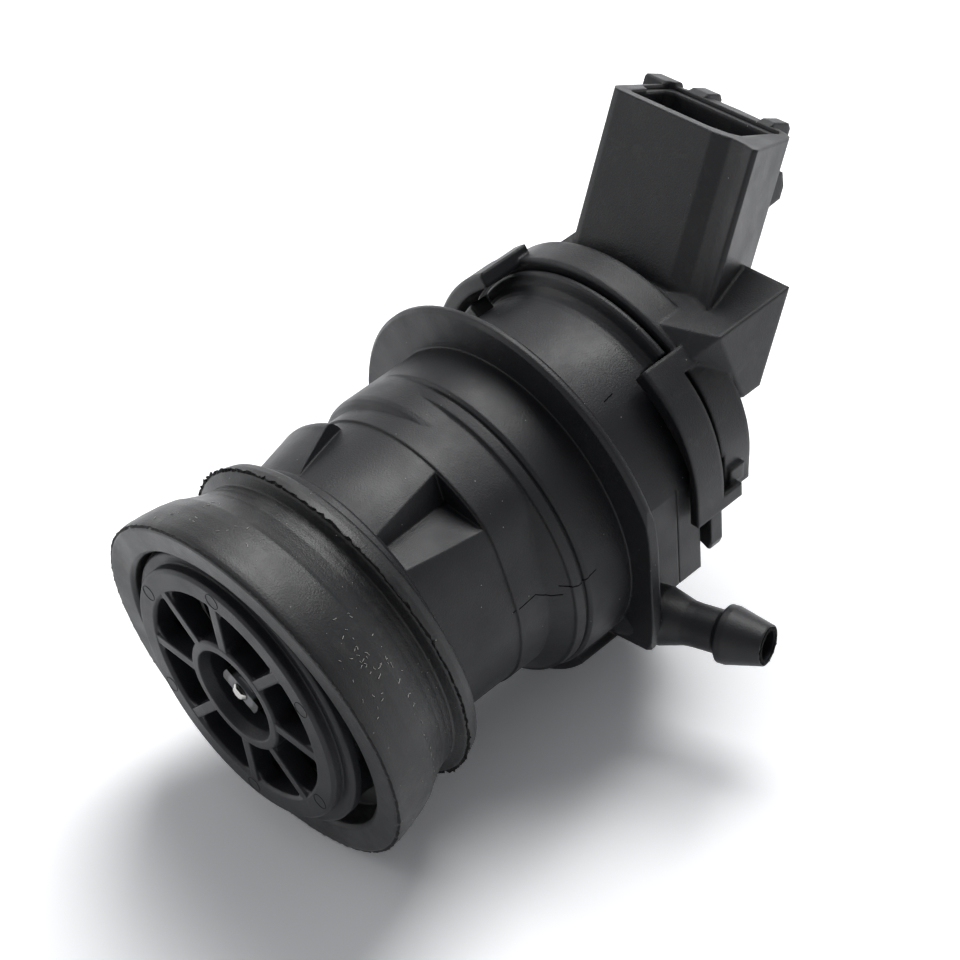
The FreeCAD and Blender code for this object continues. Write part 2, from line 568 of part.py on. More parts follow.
# Motor can with its bearing boss
can = turned([
    (boss_r, boss_y), (boss_r, can_y[0]), (can_r - 0.8, can_y[0]), (can_r, can_y[0] + 0.8), (can_r, can_y[1]),
    (can_r - can_wall, can_y[1]), (can_r - can_wall, can_y[0] + can_wall + 0.5),
    (can_r - can_wall - 0.5, can_y[0] + can_wall), (boss_r - 1.2, can_y[0] + can_wall),
    (boss_r - 1.2, can_y[0] + 0.2), (bush_r, can_y[0] + 0.2), (bush_r, boss_y + 0.5), (shaft_r + 0.6, boss_y + 0.5),
    (shaft_r + 0.6, boss_y)])
save("motor_can", can)

# Magnets and the spring clip that spreads them
for name, mid in (("magnet_left", 180.0), ("magnet_right", 0.0)):
    save(name, sector(magnet_in_r, can_r - can_wall - 0.02, magnet_y[0], magnet_y[1], mid - magnet_half, mid + magnet_half))
clip_r = (magnet_in_r + can_r - can_wall) / 2
clip = sector(clip_r - 0.4, clip_r + 0.4, magnet_y[0] - 0.9, magnet_y[1] - 4, 90 - 27.5, 90 - 23.5)
clip = clip.fuse(sector(clip_r - 0.4, clip_r + 0.4, magnet_y[0] - 0.9, magnet_y[1] - 4, 90 + 23.5, 90 + 27.5))
clip = clip.fuse(sector(clip_r - 0.4, clip_r + 0.4, magnet_y[0] - 0.9, magnet_y[0] - 0.1, 90 - 27.5, 90 + 27.5))
save("magnet_clip", clip)

# Sintered bushes
front_bush = turned([(shaft_r + bush_fit, boss_y + 0.6), (bush_r - 0.3, boss_y + 0.6), (bush_r - 0.02, boss_y + 0.9),
                     (bush_r - 0.02, can_y[0] - 0.1), (shaft_r + bush_fit, can_y[0] - 0.1)])
save("front_bush", front_bush)
rear_bush = turned([(shaft_r + bush_fit, plate_y[1]), (bush_r - 0.02, plate_y[1]), (bush_r - 0.02, rear_boss_y - 0.8),
                    (bush_r - 0.4, rear_boss_y - 0.4), (shaft_r + bush_fit, rear_boss_y - 0.4)])
save("rear_bush", rear_bush)

# End plate of the motor: holds the rear bush, the brush springs and the terminals
plate = turned([
    (shaft_r + 0.8, plate_y[0]), (can_r, plate_y[0]), (can_r, plate_y[1]), (bush_r + 1.5, plate_y[1]),
    (bush_r + 1.5, rear_boss_y - 0.3), (bush_r + 1.2, rear_boss_y), (bush_r, rear_boss_y), (bush_r, plate_y[1] - 0.05),
    (shaft_r + 0.8, plate_y[1] - 0.05)])
plate = plate.fuse(turned([(can_r - can_wall - 0.1, plate_y[0] - 2.4), (can_r - can_wall - 0.1, plate_y[0] + 0.1),
                           (can_r - can_wall - 1.6, plate_y[0] + 0.1), (can_r - can_wall - 1.6, plate_y[0] - 2.4)]))
posts = []
for a in (0.0, 180.0):
    post = slab([polar(6.6, a, 45.9) + polar(k, a + 90.0) for k in (-1.6, 1.6)]
                + [polar(8.2, a, 45.9) + polar(k, a + 90.0) for k in (1.6, -1.6)], AXIS * (plate_y[0] + 0.1 - 45.9))
    plate = plate.fuse(post)
for w in blade_w:
    plate = plate.cut(terminal(w, blade_fit))
save("end_plate", plate)

# Brushes on their leaf springs, held on the posts
for name, a in (("right", 0.0), ("left", 180.0)):
    c, s = polar(1.0, a), polar(1.0, a + 90.0)
    brush = slab([c * (commutator_r + 0.04) + s * k + AXIS * 46.4 for k in (-1.4, 1.4)]
                 + [c * 5.9 + s * k + AXIS * 46.4 for k in (1.4, -1.4)], AXIS * 2.4)
    brush = brush.cut(tube(commutator_r + 0.05, 40, 55))
    save("brush_" + name, brush)
    leaf = slab([c * 5.95 + s * k + AXIS * 46.2 for k in (-1.2, 1.2)]
                + [c * 6.25 + s * k + AXIS * 46.2 for k in (1.2, -1.2)], AXIS * 4.2)
    save("brush_spring_" + name, leaf)

# Lip seal between the chamber and the motor
seal = turned([(shaft_r + 0.05, 11.6), (1.9, 11.6), (2.6, 12.4), (3.4, 12.4), (3.4, 10.9), (seal_r, 10.9), (seal_r, 13.05),
               (2.2, 13.05), (shaft_r + 0.05, 12.1)])
save("shaft_seal", seal)

# Turning parts: shaft, core, coils, commutator, washers and impeller
shaft = turned([(0, shaft_y[0]), (shaft_r - 0.3, shaft_y[0]), (shaft_r, shaft_y[0] + 0.3), (shaft_r, shaft_y[1] - 0.3),
                (shaft_r - 0.3, shaft_y[1]), (0, shaft_y[1])])
tab_along = polar(1.0, tab_angle)
tab_over = polar(1.0, tab_angle + 90.0)
shaft = shaft.cut(slab([tab_over * d + tab_along * k for d, k in (
    (shaft_r - 0.4, -2), (shaft_r + 1, -2), (shaft_r + 1, 2), (shaft_r - 0.4, 2))], AXIS * 6.0))
save("shaft", shaft)

core = tube(core_hub_r, core_y[0], core_y[1])
for k in range(3):
    a = 90.0 + 120.0 * k
    c, s = polar(1.0, a), polar(1.0, a + 90.0)
    core = core.fuse(slab([s * -tooth_half + AXIS * core_y[0], s * tooth_half + AXIS * core_y[0],
                           c * (shoe_r + 0.5) + s * tooth_half + AXIS * core_y[0],
                           c * (shoe_r + 0.5) - s * tooth_half + AXIS * core_y[0]], AXIS * (core_y[1] - core_y[0])))
    core = core.fuse(sector(shoe_r, core_r, core_y[0], core_y[1], a - 54, a + 54))
core = core.cut(tube(shaft_r, core_y[0] - 1, core_y[1] + 1))
save("armature_core", core)

coil_y = (core_y[0] - 1.6, core_y[1] + 1.6)
for k in range(3):
    a = 90.0 + 120.0 * k
    c, s = polar(1.0, a), polar(1.0, a + 90.0)
    coil = slab([c * (core_hub_r + 0.5) + s * q + AXIS * coil_y[0] for q in (-2.6, 2.6)]
                + [c * 8.4 + s * q + AXIS * coil_y[0] for q in (4.4, -4.4)], AXIS * (coil_y[1] - coil_y[0]))
    coil = coil.common(tube(shoe_r - 0.05, coil_y[0], coil_y[1]))
    coil = coil.cut(slab([s * q + AXIS * (core_y[0] - 0.05) for q in (-tooth_half - 0.05, tooth_half + 0.05)]
                         + [c * 12 + s * q + AXIS * (core_y[0] - 0.05) for q in (tooth_half + 0.05, -tooth_half - 0.05)],
                         AXIS * (core_y[1] - core_y[0] + 0.1)))
    save("coil_%d" % (k + 1), coil)

commutator = tube(commutator_r, commutator_y[0], commutator_y[1])
commutator = commutator.fuse(tube(commutator_r + 0.9, commutator_y[0], commutator_y[0] + 0.7))
commutator = commutator.cut(tube(shaft_r, 40, 60))
for k in range(3):
    a = 30.0 + 120.0 * k
    c, s = polar(1.0, a), polar(1.0, a + 90.0)
    commutator = commutator.cut(slab([c * 2.4 + s * 0.2 + AXIS * 40, c * 6 + s * 0.2 + AXIS * 40,
                                      c * 6 - s * 0.2 + AXIS * 40, c * 2.4 - s * 0.2 + AXIS * 40], AXIS * 20))
save("commutator", commutator)

for name, y0, y1 in (("front_washer", can_y[0] + 0.1, can_y[0] + 0.7), ("rear_washer", 49.8, 50.3)):
    save(name, tube(2.4, y0, y1).cut(tube(shaft_r, y0 - 1, y1 + 1)))

impeller = turned([(shaft_r, impeller_hub_y + 0.5), (impeller_sleeve_r, impeller_hub_y + 0.5),
                   (impeller_sleeve_r, impeller_hub_y + 1.6), (impeller_hub_r, impeller_hub_y + 2.4),
                   (impeller_hub_r + 0.4, impeller_disc_y[0]),
                   (impeller_r, impeller_disc_y[0]), (impeller_r, impeller_disc_y[1]), (shaft_r, impeller_disc_y[1])])
for k in range(6):
    a = 60.0 * k + 12
    curve = [polar(r, a - 5.5 * (r - 2.0)) for r in (2.0, 4.2, 6.4, 8.6, 10.6)]
    inner = [polar(r, a - 5.5 * (r - 2.0) + 57.3 * 0.9 / r) for r in (10.6, 8.6, 6.4, 4.2, 2.0)]
    blade = slab([p + AXIS * blade_front for p in curve + inner], AXIS * (impeller_disc_y[0] + 0.1 - blade_front))
    impeller = impeller.fuse(blade)
tab = slab([tab_along * i * 4 + tab_over * j * tab_width / 2 + AXIS * impeller_hub_y
            for i, j in ((-1, -1), (1, -1), (1, 1), (-1, 1))], AXIS * 5.0)
impeller = impeller.fuse(tab.common(tube(tab_r, 0, 20)))
impeller = impeller.cut(tube(shaft_r, 0, 20))
save("impeller", impeller)
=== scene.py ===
import bpy
import math
import random
from mathutils import Matrix, Vector


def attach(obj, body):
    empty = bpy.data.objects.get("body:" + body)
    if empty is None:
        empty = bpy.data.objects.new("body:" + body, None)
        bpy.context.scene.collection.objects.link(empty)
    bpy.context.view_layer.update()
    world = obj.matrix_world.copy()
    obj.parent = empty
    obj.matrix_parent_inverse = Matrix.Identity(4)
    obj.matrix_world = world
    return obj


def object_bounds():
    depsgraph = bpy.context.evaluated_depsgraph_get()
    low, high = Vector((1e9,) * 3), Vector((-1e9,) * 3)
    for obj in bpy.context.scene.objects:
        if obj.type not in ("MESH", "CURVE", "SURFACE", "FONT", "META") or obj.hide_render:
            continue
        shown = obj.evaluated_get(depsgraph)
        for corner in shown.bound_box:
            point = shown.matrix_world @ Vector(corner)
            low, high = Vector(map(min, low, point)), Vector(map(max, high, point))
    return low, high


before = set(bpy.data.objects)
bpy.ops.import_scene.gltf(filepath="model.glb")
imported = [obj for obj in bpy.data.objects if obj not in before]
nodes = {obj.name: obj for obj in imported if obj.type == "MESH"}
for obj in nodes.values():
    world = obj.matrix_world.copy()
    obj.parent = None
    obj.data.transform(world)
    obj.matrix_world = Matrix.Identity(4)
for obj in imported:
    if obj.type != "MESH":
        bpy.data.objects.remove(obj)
cad_box = [list(corner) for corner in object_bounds()]
bpy.ops.object.select_all(action="DESELECT")
MM = 0.001

# Camera: a short telephoto seen from above the inlet end, as in the photograph,
# with the pump lying on its grommet lip and on the flat of its lower loop.
camera_right = Vector((0.6947, 0.7180, -0.0433))
camera_down = Vector((0.4950, -0.5208, -0.6955))
camera_forward = Vector((-0.5219, 0.4617, -0.7172))
camera_place = Vector((137.1, -86.6, 193.6)) * MM
lens = bpy.data.cameras.new("product_camera")
lens.lens = 93.75
lens.sensor_width = 36.0
lens.clip_start = 0.02
lens.clip_end = 20.0
camera = bpy.data.objects.new("product_camera", lens)
bpy.context.scene.collection.objects.link(camera)
turned = Matrix((camera_right, -camera_down, -camera_forward)).transposed().to_4x4()
camera.matrix_world = Matrix.Translation(camera_place) @ turned
bpy.context.scene.camera = camera
bpy.context.scene.view_settings.view_transform = "Standard"


# Table: a sheet of paper under the pump. It is pale grey to the light that bounces off it and
# overexposed to the camera and to gloss, so that only the pump's soft shadow shows on it.
# Away from the pump it is plain white.
def linear(hex_colour):
    """sRGB hex to linear RGBA."""
    parts = [int(hex_colour[i:i + 2], 16) / 255 for i in (1, 3, 5)]
    return tuple(c / 12.92 if c <= 0.04045 else ((c + 0.055) / 1.055) ** 2.4 for c in parts) + (1.0,)


def add_node(tree, kind, settings=None, values=None, links=None):
    """One node with its settings, its socket values and the sockets that feed it."""
    made = tree.nodes.new(kind)
    for name, value in (settings or {}).items():
        setattr(made, name, value)
    for socket, value in (values or {}).items():
        made.inputs[socket].default_value = value
    for socket, source in (links or {}).items():
        tree.links.new(source, made.inputs[socket])
    return made


def blank_material(name):
    """An empty node tree of that name, with its output node."""
    material = bpy.data.materials.new(name)
    material.use_nodes = True
    tree = material.node_tree
    tree.nodes.clear()
    return material, tree, tree.nodes.new("ShaderNodeOutputMaterial")


def seen_ray(tree):
    """1 for rays from the camera, in gloss and through glass, 0 for the light that falls on things."""
    path = add_node(tree, "ShaderNodeLightPath")
    gloss = add_node(tree, "ShaderNodeMath", {"operation": "MAXIMUM"}, None,
                     {0: path.outputs["Is Camera Ray"], 1: path.outputs["Is Glossy Ray"]})
    return add_node(tree, "ShaderNodeMath", {"operation": "MAXIMUM"}, None,
                    {0: gloss.outputs[0], 1: path.outputs["Is Transmission Ray"]}).outputs[0]


paper_size = 6.0
paper_below = 0.02 * MM
paper_grey = linear("#a8a9ac")
paper_seen = (1.36, 1.37, 1.39, 1.0)
shadow_end = 0.25
white_from = 0.60
paper_white = (1.0, 1.0, 1.0, 1.0)
floor_z = cad_box[0][2] - paper_below
bpy.ops.mesh.primitive_plane_add(size=paper_size, location=(0, 0, floor_z))
table = bpy.context.object
table.name = "paper_sweep"
bpy.ops.object.transform_apply(location=True)
paper, tree, out = blank_material("white_paper")
shade = add_node(tree, "ShaderNodeMix", {"data_type": "RGBA"}, {6: paper_grey, 7: paper_seen},
                 {0: seen_ray(tree)})
matt = add_node(tree, "ShaderNodeBsdfDiffuse", None, None, {"Color": shade.outputs[2]})
away = add_node(tree, "ShaderNodeVectorMath", {"operation": "LENGTH"}, None,
                {0: add_node(tree, "ShaderNodeTexCoord").outputs["Object"]})
far = add_node(tree, "ShaderNodeMapRange", {"interpolation_type": "SMOOTHSTEP"},
               {"From Min": shadow_end, "From Max": white_from}, {"Value": away.outputs["Value"]})
far_seen = add_node(tree, "ShaderNodeMath", {"operation": "MULTIPLY"}, None,
                    {0: far.outputs[0], 1: seen_ray(tree)})
white = add_node(tree, "ShaderNodeEmission", None, {"Color": paper_white, "Strength": 1.0})
sheet = add_node(tree, "ShaderNodeMixShader", None, None,
                 {0: far_seen.outputs[0], 1: matt.outputs[0], 2: white.outputs[0]})
tree.links.new(sheet.outputs[0], out.inputs[0])
table.data.materials.append(paper)

# Lamps: one broad soft box behind and above the cap, and a weaker one from the left. The room
# gives a weak even light, and gloss sees it white at the horizon and grey overhead.
room_light = (0.23, 0.233, 0.24, 1.0)
horizon_white = (1.0, 1.0, 1.0, 1.0)
overhead_grey = (0.30, 0.30, 0.31, 1.0)
white_below = 0.10
grey_above = 0.75
world = bpy.data.worlds.new("studio_room")
bpy.context.scene.world = world
world.use_nodes = True
tree = world.node_tree
tree.nodes.clear()
out = add_node(tree, "ShaderNodeOutputWorld")
direction = add_node(tree, "ShaderNodeTexCoord").outputs["Generated"]
height = add_node(tree, "ShaderNodeSeparateXYZ", None, None, {0: direction})
overhead = add_node(tree, "ShaderNodeMapRange", {"interpolation_type": "SMOOTHSTEP"},
                    {"From Min": white_below, "From Max": grey_above}, {"Value": height.outputs["Z"]})
backdrop = add_node(tree, "ShaderNodeMix", {"data_type": "RGBA"}, {6: horizon_white, 7: overhead_grey},
                    {0: overhead.outputs[0]})
room = add_node(tree, "ShaderNodeMix", {"data_type": "RGBA"}, {6: room_light},
                {0: seen_ray(tree), 7: backdrop.outputs[2]})
glow = add_node(tree, "ShaderNodeBackground", None, {"Strength": 1.0}, {"Color": room.outputs[2]})
tree.links.new(glow.outputs[0], out.inputs[0])

soft_boxes = (
    ("soft_box_back", (-0.22, 0.42, 0.66), 0.50, 6.6),
    ("soft_box_left", (-0.60, -0.35, 0.35), 0.35, 0.8),
)
pump_middle = Vector((0, 0.030, 0))
for name, place, size, watts in soft_boxes:
    lamp = bpy.data.lights.new(name, "AREA")
    lamp.shape = "SQUARE"
    lamp.size = size
    lamp.energy = watts
    box = bpy.data.objects.new(name, lamp)
    bpy.context.scene.collection.objects.link(box)
    box.location = place
    box.rotation_mode = "QUATERNION"
    box.rotation_quaternion = (pump_middle - Vector(place)).to_track_quat("-Z", "Y")


# Pump housing: neck, barrels, flange and hose nozzle in one injection moulding of black glass-filled
# nylon. The mould was spark eroded, so the skin is finely grained and its gloss is uneven. The real
# grain is finer than the render can show, so it is drawn 0.2 mm wide.
def moulded_plastic(name, colour, grain_mm=0.2, grain_depth=0.006, roughness=(0.38, 0.54), dust=0.5,
                    edge_mm=0.35, specular=0.32, scuff=0.0, scuff_colour="#6b6b68"):
    """Moulded plastic or rubber: mould grain in bump, uneven gloss, soft edges, dust and rubbed patches."""
    patch_mm = 7.0
    speck_mm = 1.5
    specks_left_out = 0.72
    rub_mm = 2.6
    patch_lift = 1.45
    material, tree, out = blank_material(name)
    place = add_node(tree, "ShaderNodeTexCoord").outputs["Object"]
    grain = add_node(tree, "ShaderNodeTexNoise", None,
                     {"Scale": 1 / (grain_mm * MM), "Detail": 3.0, "Roughness": 0.6}, {"Vector": place})
    patches = add_node(tree, "ShaderNodeTexNoise", None,
                       {"Scale": 1 / (patch_mm * MM), "Detail": 4.0, "Roughness": 0.62}, {"Vector": place})
    gloss = add_node(tree, "ShaderNodeMapRange", None,
                     {"From Min": 0.35, "From Max": 0.68, "To Min": roughness[0], "To Max": roughness[1]},
                     {"Value": patches.outputs["Fac"]})
    specks = add_node(tree, "ShaderNodeTexVoronoi", {"feature": "F1"}, {"Scale": 1 / (speck_mm * MM)},
                      {"Vector": place})
    speck_size = add_node(tree, "ShaderNodeMapRange", None,
                          {"From Min": 0.025, "From Max": 0.055, "To Min": dust, "To Max": 0.0},
                          {"Value": specks.outputs["Distance"]})
    picked = add_node(tree, "ShaderNodeSeparateColor", None, None, {"Color": specks.outputs["Color"]})
    some = add_node(tree, "ShaderNodeMath", {"operation": "GREATER_THAN"}, {1: specks_left_out},
                    {0: picked.outputs[0]})
    dusty = add_node(tree, "ShaderNodeMath", {"operation": "MULTIPLY"}, None,
                     {0: speck_size.outputs[0], 1: some.outputs[0]})
    rubs = add_node(tree, "ShaderNodeTexNoise", None,
                    {"Scale": 1 / (rub_mm * MM), "Detail": 5.0, "Roughness": 0.7, "Distortion": 0.6},
                    {"Vector": place})
    rubbed = add_node(tree, "ShaderNodeMapRange", None,
                      {"From Min": 0.52, "From Max": 0.74, "To Min": 0.0, "To Max": scuff},
                      {"Value": rubs.outputs["Fac"]})
    tint = add_node(tree, "ShaderNodeMix", {"data_type": "RGBA"},
                    {6: linear(colour), 7: tuple(c * patch_lift for c in linear(colour)[:3]) + (1.0,)},
                    {0: patches.outputs["Fac"]})
    worn = add_node(tree, "ShaderNodeMix", {"data_type": "RGBA"}, {7: linear(scuff_colour)},
                    {0: rubbed.outputs[0], 6: tint.outputs[2]})
    base = add_node(tree, "ShaderNodeMix", {"data_type": "RGBA"}, {7: linear("#b9b9b4")},
                    {0: dusty.outputs[0], 6: worn.outputs[2]})
    rounded = add_node(tree, "ShaderNodeBevel", {"samples": 6}, {"Radius": edge_mm * MM})
    bump = add_node(tree, "ShaderNodeBump", None, {"Strength": 0.35, "Distance": grain_depth * MM * 16},
                    {"Height": grain.outputs["Fac"], "Normal": rounded.outputs[0]})
    skin = add_node(tree, "ShaderNodeBsdfPrincipled", None, {"IOR": 1.53, "Specular IOR Level": specular},
                    {"Base Color": base.outputs[2], "Roughness": gloss.outputs[0],
                     "Normal": bump.outputs[0]})
    tree.links.new(skin.outputs[0], out.inputs[0])
    return material


def finish_node(node, material):
    """Gives a CAD node its material."""
    holder = nodes[node]
    holder.data.materials.clear()
    holder.data.materials.append(material)


def finish_piece(piece, name, material, body):
    """Names a modelled piece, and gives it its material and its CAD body."""
    piece.name = name
    piece.data.name = name
    piece.data.materials.clear()
    piece.data.materials.append(material)
    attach(piece, body)


def on_skin(node, angle, y_mm, lift_mm):
    """The point of a CAD node's outside at that angle about the pump axis, lifted off it."""
    a = math.radians(angle)
    outward = Vector((math.cos(a), 0, math.sin(a)))
    into = nodes[node].matrix_world.inverted()
    outside_mm = 40
    start = outward * outside_mm * MM + Vector((0, y_mm * MM, 0))
    place = nodes[node].ray_cast(into @ start, into.to_3x3() @ -outward)[1]
    return nodes[node].matrix_world @ place + outward * lift_mm * MM


def threads(paths, radius_mm, sides=1):
    """Thin round threads along lists of points, drawn vertex by vertex and turned into one closed mesh."""
    bpy.ops.object.select_all(action="DESELECT")
    bpy.ops.mesh.primitive_plane_add(size=MM)
    bpy.ops.object.mode_set(mode="EDIT")
    for count, path in enumerate(paths):
        if count:
            bpy.ops.mesh.primitive_plane_add(size=MM)
        bpy.ops.mesh.merge(type="CENTER")
        bpy.ops.transform.translate(value=path[0])
        for last, point in zip(path, path[1:]):
            bpy.ops.mesh.extrude_region_move(TRANSFORM_OT_translate={"value": point - last})
        bpy.ops.mesh.select_all(action="DESELECT")
    bpy.ops.object.mode_set(mode="OBJECT")
    bpy.ops.object.convert(target="CURVE")
    piece = bpy.context.object
    piece.data.bevel_depth = radius_mm * MM
    piece.data.bevel_resolution = sides
    piece.data.use_fill_caps = True
    bpy.ops.object.convert(target="MESH")
    return bpy.context.object


housing_nylon = moulded_plastic("black_glass_filled_nylon", "#151619")
finish_node("pump_housing", housing_nylon)

# Weld lines: two fine zigzag grooves on the front barrel, where the melt met, and a short scratch on the
# motor barrel. They lie in shadow, so here they are thin threads of near-black painted shade. Each point is
# an angle about the pump axis in degrees and a Y in millimetres.
# The near-black, barely glossy material is painted shade. The ejector marks and the nozzle tip flash use it
# too.
painted_shade_black = moulded_plastic("painted_shade_weld_line", "#060607", roughness=(0.7, 0.8), dust=0.0, edge_mm=0.05,
                            specular=0.06)
weld_sunk = -0.02
weld_r = 0.07
weld_lines = (
    ((14.4, 24.9), (15.0, 26.4), (15.6, 28.0), (13.0, 28.9), (11.6, 29.6), (11.4, 30.5)),
    ((15.5, 30.3), (14.6, 31.0), (13.5, 31.9), (14.0, 32.6), (15.2, 33.2), (15.7, 34.2)),
    ((60.8, 44.7), (61.1, 45.4), (61.4, 46.1)),
)
weld_paths = []
for line in weld_lines:
    fine = []
    for (a0, y0), (a1, y1) in zip(line, line[1:]):
        fine += [(a0 + (a1 - a0) * k / 4, y0 + (y1 - y0) * k / 4) for k in range(4)]
    weld_paths.append([on_skin("pump_housing", a, y, weld_sunk) for a, y in fine + [line[-1]]])
finish_piece(threads(weld_paths, weld_r), "weld_lines", painted_shade_black, "pump")

# Stop rib: a short block moulded on the housing beside the far clip tooth, in the same nylon.
# It closes the view through the cap's loop. Its place and size are guessed.
rib_turn = math.radians(148.0)
rib_from_axis = 17.9
rib_y = 49.2
rib_size = (2.2, 2.4, 4.4)
rib_edge = 0.3
bpy.ops.object.select_all(action="DESELECT")
rib_place = (rib_from_axis * MM * math.cos(rib_turn), rib_y * MM, rib_from_axis * MM * math.sin(rib_turn))
bpy.ops.mesh.primitive_cube_add(size=MM, location=rib_place, rotation=(0, -rib_turn, 0), scale=rib_size)
bpy.ops.object.transform_apply(location=True, rotation=True, scale=True)
stop_rib = bpy.context.object
soft = stop_rib.modifiers.new("soft_edges", "BEVEL")
soft.width = rib_edge * MM
soft.segments = 3
bpy.ops.object.modifier_apply(modifier=soft.name)
finish_piece(stop_rib, "stop_rib", housing_nylon, "pump")

# End cap: a second moulding in the same nylon, from a finer mould, so a little glossier,
# clipped over the teeth of the housing.
cap_nylon = moulded_plastic("black_nylon_cap", "#151619", roughness=(0.38, 0.52), edge_mm=0.6, scuff=0.10)
finish_node("end_cap", cap_nylon)

# Inlet grille: a small black nylon moulding with eight spokes, pushed into the neck. The ejector pins
# of its mould left six round marks on the rim.
grille_nylon = moulded_plastic("black_nylon_grille", "#1a1b1f", roughness=(0.4, 0.55), dust=0.3)
finish_node("inlet_grille", grille_nylon)
# Ejector marks: thin near-black rings of painted shade, where the shallow rims of the marks lie in shade.
mark_circle = 13.65
mark_first = 33.9
mark_count = 6
mark_r = 0.88
mark_line_r = 0.03
mark_raised = 0.01
bpy.ops.object.select_all(action="DESELECT")
marks = []
for k in range(mark_count):
    a = math.radians(mark_first + 360.0 / mark_count * k)
    place = Vector((mark_circle * math.cos(a), -mark_raised, mark_circle * math.sin(a))) * MM
    bpy.ops.mesh.primitive_torus_add(location=place, rotation=(math.pi / 2, 0, 0),
                                     major_segments=40, minor_segments=8,
                                     major_radius=mark_r * MM, minor_radius=mark_line_r * MM)
    marks.append(bpy.context.object)
for mark in marks:
    mark.select_set(True)
bpy.ops.object.join()
bpy.ops.object.transform_apply(location=True, rotation=True)
finish_piece(bpy.context.object, "ejector_marks", painted_shade_black, "pump")

# Grommet: soft black rubber, compression moulded, pushed on askew and scuffed by the tank wall.
# The mould's parting lines left torn flash round both lips.
rubber = moulded_plastic("black_rubber", "#131416", grain_mm=0.22, roughness=(0.36, 0.52), specular=0.4,
                         edge_mm=0.35, scuff=0.16)
finish_node("tank_grommet", rubber)
torn_rubber = moulded_plastic("torn_rubber_flash", "#101012", grain_mm=0.1, roughness=(0.7, 0.85), dust=0.2,
                              edge_mm=0.05, specular=0.25)
tip_line = math.radians(24.0)
tip_turn = math.radians(4.9)
tip_y = 7.0
tip_shift = 0.4
tip = (Matrix.Translation(Vector((tip_shift, tip_y, 0)) * MM)
       @ Matrix.Rotation(tip_turn, 4, Vector((math.cos(tip_line), 0, math.sin(tip_line))))
       @ Matrix.Translation(Vector((0, -tip_y, 0)) * MM))
flash_wall = 0.07


def torn_edge(radius_mm, y_mm, reach_mm, back_mm, ragged_mm, seed, steps):
    """A thin ragged skirt round the axis: a ring drawn outward in edit mode, roughened and thickened."""
    bpy.ops.object.select_all(action="DESELECT")
    bpy.ops.mesh.primitive_circle_add(vertices=steps, radius=radius_mm * MM, location=(0, y_mm * MM, 0),
                                      rotation=(math.pi / 2, 0, 0))
    bpy.ops.object.transform_apply(location=True, rotation=True)
    ring = bpy.context.object
    bpy.ops.object.mode_set(mode="EDIT")
    bpy.ops.mesh.select_all(action="SELECT")
    for part in (1, 2):
        bpy.ops.mesh.extrude_region_move(TRANSFORM_OT_translate={"value": (0, back_mm * MM / 2, 0)})
        grow = 1 + reach_mm / 2 / (radius_mm + reach_mm * (part - 1) / 2)
        bpy.ops.transform.resize(value=(grow, 1, grow), center_override=(0, 0, 0))
        bpy.ops.transform.vertex_random(offset=ragged_mm * MM * part / 2, seed=seed + part)
    bpy.ops.object.mode_set(mode="OBJECT")
    skirt = ring.modifiers.new("thickness", "SOLIDIFY")
    skirt.thickness = flash_wall * MM
    skirt.offset = 0
    bpy.ops.object.modifier_apply(modifier=skirt.name)
    return ring


for name, radius, y, reach, back, ragged, seed, steps in (
        ("front_lip_flash", 20.6, 1.72, 0.32, 0.10, 0.09, 3, 420),
        ("rear_lip_flash", 19.2, 12.9, 0.48, 0.06, 0.24, 11, 330)):
    ring = torn_edge(radius, y, reach, back, ragged, seed, steps)
    ring.matrix_world = tip
    bpy.ops.object.transform_apply(location=True, rotation=True)
    finish_piece(ring, name, torn_rubber, "pump")

# Nozzle tip: the end of the hose nozzle, moulded with the housing. The core pin of the mould left a torn rim
# of flash round the bore. Its near-black, barely glossy colour is painted shade, for the shade at the bore's
# mouth.
nozzle_tip = Vector((30.97, 45.72, -5.75)) * MM
nozzle_line = Vector((0.952, 0.2756, 0.1338))
ring = torn_edge(radius_mm=1.64, y_mm=0.04, reach_mm=0.42, back_mm=-0.02, ragged_mm=0.11, seed=7, steps=56)
turn = Vector((0, 1, 0)).rotation_difference(nozzle_line).to_matrix().to_4x4()
ring.matrix_world = Matrix.Translation(nozzle_tip) @ turn
bpy.ops.object.transform_apply(location=True, rotation=True)
finish_piece(ring, "nozzle_tip_flash", painted_shade_black, "pump")


# Lint: short pale fibres and crumbs that cling to the rubber, most of them on the near side of the
# front lip and along its crease. The places where fibres start are given as an angle about the pump
# axis in degrees and a Y in millimetres, and the cluster as the middle and spread of each.
def lint_material():
    """Pale matt fibre, a little uneven in colour along its length."""
    cloud_mm = 0.6
    material, tree, out = blank_material("pale_lint")
    place = add_node(tree, "ShaderNodeTexCoord").outputs["Object"]
    cloud = add_node(tree, "ShaderNodeTexNoise", None, {"Scale": 1 / (cloud_mm * MM), "Detail": 2.0},
                     {"Vector": place})
    tint = add_node(tree, "ShaderNodeMix", {"data_type": "RGBA"},
                    {6: linear("#8d8b86"), 7: linear("#dddbd4")}, {0: cloud.outputs["Fac"]})
    skin = add_node(tree, "ShaderNodeBsdfPrincipled", None, {"Roughness": 0.9, "IOR": 1.5},
                    {"Base Color": tint.outputs[2]})
    tree.links.new(skin.outputs[0], out.inputs[0])
    return material


